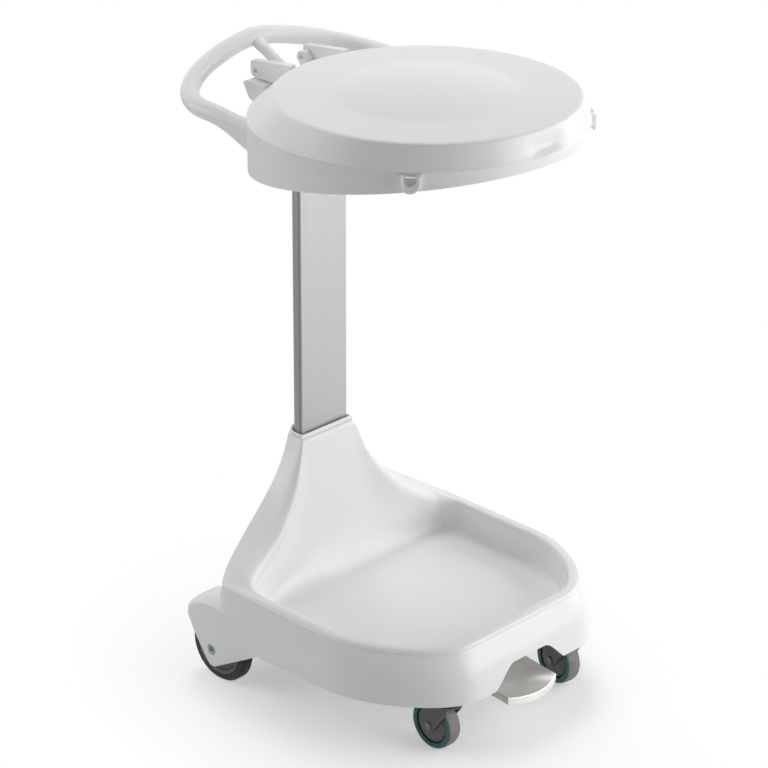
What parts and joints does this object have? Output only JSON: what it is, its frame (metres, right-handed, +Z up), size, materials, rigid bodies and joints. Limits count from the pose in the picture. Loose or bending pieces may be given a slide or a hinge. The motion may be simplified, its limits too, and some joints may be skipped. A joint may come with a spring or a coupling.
{
  "type": "pedal-operated waste sack holder",
  "caption": "Mobile waste sack holder: moulded base with tray and flared neck, aluminium column, sack ring with push handle, and a round lid lifted by a pedal.",
  "frame": {"origin": "centre of the bounding box on the floor under the wheels", "axes": "+Z up along the column; the front, with the pedal, faces -Y; X = 0 is the plane of symmetry"},
  "size_m": [0.465, 0.5919, 0.9157],
  "materials": {
    "white_abs": "glossy white moulded plastic",
    "brushed_aluminium": "satin anodised extrusion",
    "zinc_steel": "zinc plated",
    "stainless_sheet": "satin folded sheet",
    "natural_nylon": "uncoloured moulded plastic",
    "caster_grey": "dark grey moulded plastic",
    "caster_teal": "teal moulded ring",
    "tread_grey": "grey non-marking tread",
    "black_rubber": "black rubber tyre",
    "hub_grey": "dark grey moulded hub"
  },
  "bodies": {
    "holder": {"base_moulding": "white_abs", "column": "brushed_aluminium", "column_collar": "white_abs", "rod_guide_lower": "natural_nylon", "rod_guide_upper": "natural_nylon", "column_screw_left": "zinc_steel", "column_screw_right": "zinc_steel", "head_moulding": "white_abs", "head_screw_left": "zinc_steel", "head_screw_right": "zinc_steel", "hinge_pin_left": "zinc_steel", "hinge_pin_right": "zinc_steel", "hook_pin_left": "zinc_steel", "hook_pin_right": "zinc_steel", "pedal_bracket": "zinc_steel", "pedal_pivot_pin": "zinc_steel", "bracket_screw_front": "zinc_steel", "bracket_screw_rear": "zinc_steel", "rear_axle_bolt_left": "zinc_steel", "rear_axle_bolt_right": "zinc_steel", "rear_axle_nut_left": "zinc_steel", "rear_axle_nut_right": "zinc_steel", "caster_stem_left": "zinc_steel", "caster_stem_right": "zinc_steel"},
    "lid": {"lid": "white_abs", "lid_crank": "zinc_steel", "crank_pin": "zinc_steel", "crank_screw_front": "zinc_steel", "crank_screw_rear": "zinc_steel"},
    "lift_rod": {"lift_rod": "zinc_steel", "rod_head": "zinc_steel", "rod_foot": "natural_nylon"},
    "pedal": {"pedal_plate": "stainless_sheet", "pedal_arm": "zinc_steel"},
    "rear_wheel_left": {"rear_tyre_left": "black_rubber", "rear_hub_left": "hub_grey"},
    "rear_wheel_right": {"rear_tyre_right": "black_rubber", "rear_hub_right": "hub_grey"},
    "caster_fork_left": {"caster_fork_left": "caster_grey", "caster_axle_left": "zinc_steel"},
    "caster_fork_right": {"caster_fork_right": "caster_grey", "caster_axle_right": "zinc_steel"},
    "caster_wheel_left": {"caster_tyre_left": "tread_grey", "caster_rim_left": "caster_teal", "caster_hub_left": "caster_grey"},
    "caster_wheel_right": {"caster_tyre_right": "tread_grey", "caster_rim_right": "caster_teal", "caster_hub_right": "caster_grey"}
  },
  "joints": [
    {"name": "lid_hinge", "type": "hinge", "parent": "holder", "child": "lid", "pos_m": [0, 0.2155, 0.88], "axis": [-1, 0, 0], "range_deg": [0, 70]},
    {"name": "lift_rod_slide", "type": "slide", "parent": "holder", "child": "lift_rod", "axis": [0, 0, 1], "range_m": [0, 0.05736]},
    {"name": "pedal_press", "type": "hinge", "parent": "holder", "child": "pedal", "pos_m": [0, -0.091, 0.088], "axis": [1, 0, 0], "range_deg": [0, 13.29]},
    {"name": "rear_wheel_left_spin", "type": "hinge", "parent": "holder", "child": "rear_wheel_left", "pos_m": [-0.2085, 0.139, 0.055], "axis": [1, 0, 0], "continuous": true},
    {"name": "rear_wheel_right_spin", "type": "hinge", "parent": "holder", "child": "rear_wheel_right", "pos_m": [0.2085, 0.139, 0.055], "axis": [1, 0, 0], "continuous": true},
    {"name": "caster_left_swivel", "type": "hinge", "parent": "holder", "child": "caster_fork_left", "pos_m": [-0.128, -0.236, 0], "axis": [0, 0, 1], "continuous": true},
    {"name": "caster_right_swivel", "type": "hinge", "parent": "holder", "child": "caster_fork_right", "pos_m": [0.128, -0.236, 0], "axis": [0, 0, 1], "continuous": true},
    {"name": "caster_left_spin", "type": "hinge", "parent": "caster_fork_left", "child": "caster_wheel_left", "pos_m": [-0.12723, -0.21401, 0.0375], "axis": [0.9994, -0.0349, 0], "continuous": true},
    {"name": "caster_right_spin", "type": "hinge", "parent": "caster_fork_right", "child": "caster_wheel_right", "pos_m": [0.13182, -0.21433, 0.0375], "axis": [0.9848, -0.1736, 0], "continuous": true}
  ],
  "couplings": [
    {"joint": "lift_rod_slide", "follows": "lid_hinge", "m_per_rad": 0.046948},
    {"joint": "pedal_press", "follows": "lid_hinge", "ratio": 0.18992}
  ]
}
